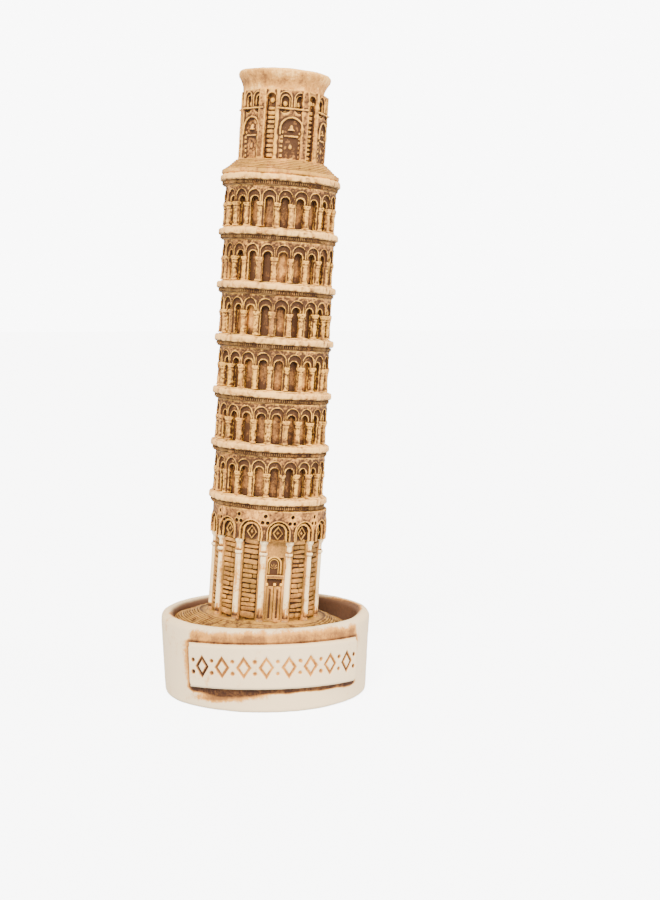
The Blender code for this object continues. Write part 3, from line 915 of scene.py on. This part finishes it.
def make_ground_arcade(material):
    """Nested arches over the ground columns, lozenges in their heads, and three drilled
    holes in each spandrel."""
    seat = Seat("ground_arcade")
    high, skin = seat.height + 0.3, seat.radius
    spring, leg = 1.55, 3.0
    steps = [(skin, high * i / 6) for i in range(7)]
    ring = spun([(8.45, 0.0), *steps, (8.45, high)], BAYS_BELOW * 16, ring=True)
    bays, piers = evenly(BAYS_BELOW), evenly(BAYS_BELOW, 0.5)
    carved(ring, ring_of(arch_plug(1.80, leg, 1.9), bays, skin, spring))
    parts = [
        ring,
        ring_of(arch_rib(1.92, leg, 0.11), bays, skin, spring),
        ring_of(arch_rib(1.36, leg, 0.19), bays, skin - 0.44, spring),
        ring_of(arch_plug(1.9, leg, 0.35), bays, skin - 1.08, spring),
        ring_of(make_lozenge(), bays, skin - 0.72, spring - 0.20),
    ]
    whole = joined(parts)
    holes = []
    for x, z in ((0.0, high - 0.95), (-0.42, high - 2.05), (0.42, high - 2.05)):
        holes += [ring_place(angle + x / skin, skin, z) for angle in piers]
    bpy.ops.mesh.primitive_cylinder_add(vertices=10, radius=0.34, depth=1.3)
    carved(whole, around(stood_up(), holes))
    trimmed(cast(whole, 0.128, 1), 0.0)
    weathered(whole, "arch", (0.12, 0.9), (0.10, 0.4))
    stained(whole, skin + 0.02, 0.95, rounds=8, sharp=0.032, share=0.72, rub=0.50)
    settled(whole, "ground_arcade", seat, material)


def make_lozenge():
    """A lozenge in outline with a smaller one standing in it."""
    bpy.ops.mesh.primitive_torus_add(
        major_radius=0.84, minor_radius=0.15, major_segments=4, minor_segments=8
    )
    rim = stood_up((0.92, 1.25, 1.0))
    bpy.ops.mesh.primitive_cone_add(vertices=4, radius1=0.42, radius2=0.10, depth=0.30)
    return joined([rim, stood_up((0.92, 1.25, 1.0))])


# ---------------------------------------------------------------- galleries and cornices

def make_gallery_column():
    """Half column: a low base, a plain shaft, and a capital under a square block."""
    outline = [
        (0.0, 0.0), (0.53, 0.0), (0.54, 0.14), (0.46, 0.26), (0.43, 0.40), (0.41, 2.86),
        (0.49, 2.96), (0.49, 3.06), (0.44, 3.14), (0.57, 3.40), (0.62, 3.58), (0.0, 3.58),
    ]
    shaft = spun(outline, 14)
    return joined([shaft, block((1.12, 1.04, 0.38), (0.0, 0.0, 3.73), 0.12, 2)])


def make_gallery_ring(inner, skin, high):
    """The storey's ring with a wide shallow arch and a narrow deep one in each bay."""
    steps = [(skin, high * i / 8) for i in range(9)]
    ring = spun([(inner, 0.0), *steps, (inner, high)], BAYS_ABOVE * FACET, ring=True)
    bays = evenly(BAYS_ABOVE)
    high_spring, low_spring = 4.86, 4.20
    carved(ring, ring_of(arch_plug(1.15, LONG_LEG, 0.74, 24), bays, skin, high_spring))
    carved(ring, ring_of(arch_plug(0.75, LONG_LEG, 4.0, 20), bays, skin, low_spring))
    rib = ring_of(arch_rib(0.82, 1.2, 0.10), bays, skin - 0.36, low_spring)
    crest = ring_of(arch_rib(1.19, 0.9, 0.07), bays, skin, high_spring)
    return joined([ring, rib, crest])


def make_gallery_walls(material):
    """The drum behind each gallery swells a little in every bay, where the stain is thin."""
    first = Seat("gallery_wall_1")
    base, high = first.radius - 0.06, first.height
    outline = [(0.0, 0.0)] + [(base, high * i / 16) for i in range(17)] + [(0.0, high)]
    drum = spun(outline, BAYS_ABOVE * FACET)
    for storey in range(1, GALLERIES + 1):
        name = f"gallery_wall_{storey}"
        wall = copied(drum, Matrix.Identity(4))
        points = mesh_points(wall)
        away, angle, up = polar(points)
        angle = angle - GALLERY_TURN
        swell = 0.5 + 0.5 * np.cos(BAYS_ABOVE * angle)
        grown = np.where(away > base - 0.01, 1.0 + 0.16 * swell ** 2 / base, 1.0)
        points[:, :2] *= grown[:, None]
        move_points(wall, points)
        roughened(wall, 0.10, 0.7 + 0.1 * storey, f"niche_waves_{storey}")
        lottery = np.array([STAMP.uniform(-0.26, 0.30) for _ in range(BAYS_ABOVE)])
        bay = np.round(angle / math.tau * BAYS_ABOVE).astype(int) % BAYS_ABOVE
        ends = 0.5 * rising(1.3 - up, 1.1) + 0.22 * rising(up - 3.9, 0.8)
        write_mask(wall, "hollow", 0.62 - 0.34 * swell + lottery[bay] + ends)
        write_mask(wall, "edge", 0.0 * angle)
        settled(wall, name, Seat(name), material)
    discard(drum)


def make_galleries(material):
    """All six storeys come from one ring, each with its own columns and wear, and all with the
    same turn.
    """
    first = Seat("gallery_arcade_1")
    inner, skin = Seat("gallery_wall_1").radius + 0.06, first.radius
    high = first.height + 0.35
    ring = make_gallery_ring(inner, skin, high)
    column = make_gallery_column()
    for storey in range(1, GALLERIES + 1):
        piers = evenly(BAYS_ABOVE, 0.5)
        columns = uneven_row(column, piers, skin - 0.27, 0.0, 0.012, 0.12, 0.015)
        gallery = joined([copied(ring, Matrix.Identity(4)), columns])
        gallery.data.transform(Matrix.Rotation(GALLERY_TURN, 4, "Z"))
        cast(gallery)
        weathered(gallery, f"gallery_{storey}", (0.18, 0.9 + 0.06 * storey), (0.10, 0.34))
        stained(gallery, skin - 0.02, 0.80, rounds=8, sharp=0.027, share=0.42, rub=0.75)
        name = f"gallery_arcade_{storey}"
        settled(gallery, name, Seat(name), material)
    discard(ring)
    discard(column)


def make_cornices(material):
    """A bead, a row of dentils and a groove under a broad rounded band."""
    first = Seat("cornice_1")
    band, high = first.radius, first.height + 0.3
    outline = [(8.5, -0.02), (9.30, -0.02), (9.46, 0.03), (9.60, 0.10), (9.63, 0.19), (9.52, 0.26)]
    outline += [(9.50, 0.34), (9.50, 0.50), (9.50, 0.66), (9.52, 0.76), (9.56, 0.82)]
    outline += [(band - 0.22, 0.86)]
    outline += arc((band - 0.26, 1.15), 0.26, -80, 0, 4)
    outline += arc((band - 0.30, 1.62), 0.30, 0, 85, 5)
    outline += [(band - 0.50, 1.96), (band - 0.62, high - 0.14)]
    outline += [(9.0, high - 0.10), (8.5, high - 0.10)]
    plate = spun(outline, 240, ring=True)
    tooth = block((0.15, 0.36, 0.42))
    for storey in range(1, GALLERIES + 2):
        teeth = uneven_row(tooth, evenly(DENTILS), 9.60, 0.50, 0.002, 0.15, 0.1)
        piece = joined([copied(plate, Matrix.Identity(4)), teeth])
        piece.data.transform(Matrix.Rotation(STAMP.uniform(0, 6), 4, "Z"))
        weathered(piece, f"cornice_{storey}", (0.42, 2.2), (0.16, 0.6))
        away, angle, up = polar(mesh_points(piece))
        low_part = rising(0.95 - up, 0.15)
        groove = rising(9.74 - away, 0.18) * low_part
        # painted shade: dark lines under the cornice's foot and under the band's lower edge
        under = rising(0.10 - up, 0.10) + rising(0.20 - np.abs(up - 0.86), 0.20)
        ledge = rising(up - 1.9, 0.1) * rising(band - 0.35 - away, 0.3)
        bead = peak(up, 0.14, 0.10) * (away > 9.4)
        soot = sum(np.sin(n * angle + STAMP.uniform(0, math.tau)) for n in (1, 3, 4, 7))
        # painted shade along the band's rounded underside
        band_underside_shade = peak(up, 0.93, 0.17) * (away > 9.75)
        bulge = bulges(piece, 6) / 0.05
        hollow = 0.66 * low_part + groove - 0.45 * bead + 0.9 * under + 0.75 * ledge
        hollow = hollow + 0.03 * (storey - 1) + 0.08 * soot + 0.95 * band_underside_shade
        write_mask(piece, "hollow", hollow + 0.6 * (-bulge).clip(0, 1))
        write_mask(piece, "edge", (bulge - 0.3).clip(0, 1) * (1.0 - 0.85 * low_part))
        name = f"cornice_{storey}"
        settled(piece, name, Seat(name), material)
    discard(plate)
    discard(tooth)


# ---------------------------------------------------------------- belfry

def make_terrace(material):
    """Fine steps that narrow from the last cornice to the belfry's foot."""
    seat = Seat("belfry_terrace")
    brim, high = seat.radius, seat.height + 0.3
    foot = 7.45
    outline = [(0.0, -0.3), (brim - 0.3, -0.3), (brim - 0.05, -0.15), (brim + 0.05, 0.1)]
    treads = 7
    tread = (brim - foot) / treads
    for i in range(treads):
        share = i / treads
        radius, level = brim - (brim - foot) * share ** 0.85, 0.25 + (high - 0.25) * share
        outline += [(radius, level), (radius + 0.02, level + 0.20), (radius - 0.14, level + 0.30)]
        outline += [(radius - tread * 0.8, level + 0.24)]
    outline += [(foot, high), (0.0, high)]
    piece = spun(outline, 220)
    weathered(piece, "terrace", (0.22, 2.4), (0.08, 0.7))
    stained(piece, STEP_SKIN, STEP_DEPTH, rounds=5, sharp=0.012, share=0.2, rub=0.45)
    settled(piece, "belfry_terrace", seat, material)


def make_belfry_arcade(material, dark):
    """Six wide bays with twin lights over a great arch, and six narrow bays of courses."""
    seat = Seat("belfry_arcade")
    wall = Seat("belfry_wall")
    skin, inner, high = seat.radius, wall.radius + 0.05, seat.height + 0.3
    steps = [(skin, high * i / 10) for i in range(11)]
    ring = spun([(inner, 0.0), *steps, (inner, high)], 160, ring=True)
    wide = [angle + BELFRY_TURN for angle in evenly(BELFRY_PAIRS)]
    narrow = [angle + BELFRY_TURN for angle in evenly(BELFRY_PAIRS, 0.5)]
    aside = 1.28 / skin
    twins = [angle + side * aside for angle in wide for side in (-1, 1)]
    great_spring, light_spring, inner_spring = 5.0, 9.95, 9.75
    carved(ring, ring_of(arch_plug(1.80, LONG_LEG, 0.70), wide, skin, great_spring))
    carved(ring, ring_of(arch_plug(0.98, 1.45, 0.50, 20), twins, skin, light_spring))
    carved(ring, ring_of(arch_plug(0.66, 1.25, 1.5, 20), twins, skin, inner_spring))
    carved(ring, ring_of(arch_plug(0.78, 9.9, 1.8, 20), narrow, skin, 10.0))
    ledge = block((5.3, 0.60, 0.26), soft=0.08, segments=2)
    shelf = block((2.4, 0.5, 0.28), soft=0.08, segments=2)
    broad = block((1.30, 0.80, high), (0.0, 0.0, high / 2), 0.16, 3)
    slim = spun([(0.0, 0.0), (0.42, 0.0), (0.34, 0.6), (0.34, high), (0.0, high)], 12)
    parts = [
        ring,
        ring_of(arch_rib(1.90, 1.0, 0.15), wide, skin, great_spring),
        ring_of(arch_rib(1.06, 1.4, 0.11), twins, skin, light_spring),
        ring_of(arch_rib(0.72, 1.2, 0.10), twins, skin - 0.26, inner_spring),
        ring_of(make_bud(0.50), twins, skin - 0.74, 9.1),
        ring_of(ledge, wide, skin - 0.16, 8.30),
        ring_of(shelf, wide, skin - 0.28, 3.85),
        ring_of(make_bell(), wide, skin - 0.40, 5.15),
        ring_of(make_drop(), wide, skin - 0.42, 2.3),
        ring_of(broad, [angle - 1.46 / skin for angle in narrow], skin - 0.10),
        ring_of(slim, [angle + 1.16 / skin for angle in narrow], skin - 0.04),
    ]
    half = 0.76 / skin
    for angle in narrow:
        parts.append(make_courses(angle - half, angle + half, 0.2, 8.4, skin - 0.66))
        parts.append(ring_of(make_bud(0.42), [angle], skin - 0.74, 9.6))
    for angle in wide:
        for side in (-1, 1):
            near, far = sorted((angle + side * 1.35 / skin, angle + side * 2.1 / skin))
            parts.append(make_courses(near, far, 0.2, 4.4, skin - 0.04))
    whole = joined(parts)
    trimmed(cast(whole, 0.134, 1), 0.0)
    weathered(whole, "belfry", (0.18, 1.0), (0.08, 0.4))
    stained(whole, skin + 0.05, 1.30, rounds=8, sharp=0.033, share=0.38, rub=0.65)
    settled(whole, "belfry_arcade", seat, material)
    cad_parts["belfry_wall"].data.materials.clear()
    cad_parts["belfry_wall"].data.materials.append(dark)


def make_bud(radius):
    """A plain rounded boss that stands in a niche."""
    bpy.ops.mesh.primitive_uv_sphere_add(segments=14, ring_count=8, radius=radius)
    bud = bpy.context.object
    bud.scale = (1.0, 0.7, 1.0)
    return fixed(bud)


def make_courses(first, last, low, high, radius):
    """Single blocks stacked with open joints."""
    brick = block((1.0, 1.0, 1.0), soft=0.10)
    places = []
    level = low
    while level < high - 0.2:
        course = 0.68 + 0.14 * STAMP.random()
        size = ((last - first) * radius, 0.5, course - 0.30)
        face = radius - 0.25 + 0.06 * STAMP.random()
        place = ring_place((first + last) / 2, face, level + course / 2)
        places.append(place @ Matrix.Diagonal((*size, 1.0)))
        level += course
    return around(brick, places)


def make_bell():
    """A bell with its clapper, hung under the great arch."""
    outline = [
        (0.0, -0.50), (0.10, -0.42), (0.30, -0.40), (0.58, -0.42), (0.60, -0.30), (0.44, -0.05),
        (0.34, 0.35), (0.20, 0.52), (0.08, 0.60), (0.08, 0.80), (0.0, 0.82),
    ]
    return spun(outline, 16)


def make_drop():
    """A drop-shaped pendant in the small niche."""
    outline = [
        (0.0, -0.62), (0.20, -0.56), (0.32, -0.32), (0.30, -0.05), (0.16, 0.30), (0.07, 0.62),
        (0.0, 0.75),
    ]
    return spun(outline, 14)


def make_crown(material):
    """A hollow curve up from the neck to a thick rolled lip, open like a bowl."""
    seat = Seat("belfry_crown")
    rim, high = seat.radius, seat.height
    neck = rim - 0.98
    outline = [(5.2, 0.0), (5.8, -0.25), (neck - 0.1, -0.25), (neck, 0.0)]
    for i in range(1, 10):
        share = i / 9
        outline.append((neck + (rim - 0.10 - neck) * share ** 1.9, (high - 0.95) * share))
    outline += arc((rim - 0.50, high - 0.48), 0.50, 0, 90, 6)
    outline += [(rim - 1.0, high - 0.02), (rim - 1.35, high - 0.25), (rim - 1.9, 1.9)]
    outline += [(5.3, 1.3), (5.2, 0.9)]
    piece = spun(outline, 180, ring=True)
    weathered(piece, "crown", (0.24, 2.6), (0.10, 0.6))
    away, _, up = polar(mesh_points(piece))
    outside = away > rim - 1.1
    throat = peak(up, 1.2, 0.9) * outside
    bowl = rising(rim - 1.1 - away, 0.8)
    write_mask(piece, "hollow", 0.20 * throat + 0.55 * bowl)
    write_mask(piece, "edge", rising(up - high + 0.5, 0.4) * outside)
    settled(piece, "belfry_crown", seat, material)


def make_roof(material):
    """The shallow dished floor inside the crown."""
    seat = Seat("belfry_roof")
    rim, high = seat.radius, seat.height
    outline = [(0.0, 0.0), (rim + 0.25, 0.0), (rim + 0.25, high - 0.1)]
    for i in range(11, 0, -1):
        outline.append((rim * i / 12, high - 0.12 * math.cos(math.pi * i / 24)))
    outline += [(0.0, high - 0.12)]
    piece = spun(outline, 140)
    roughened(piece, 0.16, 1.4, "roof_waves")
    stained(piece, STEP_SKIN, STEP_DEPTH, rounds=5, sharp=0.03)
    settled(piece, "belfry_roof", seat, material)


# ---------------------------------------------------------------- the whole model

def dish_paint():
    """The dish's paint: ivory outside, and bare mauve-brown in the well."""
    colours = (PALE_IVORY, AMBER, OCHRE, UMBER, PALE_IVORY)
    material = aged_resin("dish_paint", colours, -0.09, 0.55)
    tree = material.node_tree
    shader = tree.nodes["Principled BSDF"]
    outside = shader.inputs["Base Color"].links[0].from_socket
    mask = node(tree, "ShaderNodeAttribute", attribute_name="inside")
    place = node(tree, "ShaderNodeTexCoord").outputs["Object"]
    drift = clouds(tree, place, 320.0, 4.0)
    well = blended(tree, drift, MAUVE, tuple(1.5 * c for c in MAUVE))
    tree.links.new(blended(tree, mask.outputs["Fac"], outside, well), shader.inputs["Base Color"])
    return material


def build_souvenir():
    make_antique_wash()
    dish = dish_paint()
    casting = (BUFF, HONEY, OCHRE, BROWN, GOLD)
    light = (IVORY, AMBER, OCHRE, BROWN, IVORY)
    white = (WHITE, AMBER, OCHRE, BROWN, WHITE)
    plain = (PALE_IVORY, AMBER, OCHRE, UMBER, PALE_IVORY)
    plate = aged_resin("plate_paint", plain, -0.10, 0.6)
    ivory = aged_resin("column_paint", white, -0.02, 0.8)
    arcade = aged_resin("arcade_paint", casting, 0.64, 1.5)
    ground = aged_resin("ground_arcade_paint", casting, 0.45, 1.6)
    belfry = aged_resin("belfry_paint", casting, 0.48, 1.5)
    brick = aged_resin("brick_paint", casting, 0.54, 1.5)
    band = aged_resin("cornice_paint", light, 0.16, 1.5)
    treads = aged_resin("terrace_paint", casting, 0.42, 1.5)
    cap = aged_resin("crown_paint", light, 0.17, 0.9)
    niche = aged_resin("niche_stain", casting, 0.36, 1.5)
    wall = aged_resin("belfry_stain", (HONEY, OCHRE, BROWN, UMBER, HONEY), 0.42, masks=False)
    rings = aged_resin("plinth_stain", casting, 0.80, 1.4)
    make_dish(dish)
    make_name_plate(plate)
    make_plinth(rings)
    make_ground_wall(brick)
    make_door_leaf(brick)
    make_door_hood(ground)
    make_ground_columns(ivory)
    make_ground_arcade(ground)
    make_gallery_walls(niche)
    make_galleries(arcade)
    make_cornices(band)
    make_terrace(treads)
    make_belfry_arcade(belfry, wall)
    make_crown(cap)
    make_roof(cap)


place_camera()
light_studio()
lay_floor()
build_souvenir()
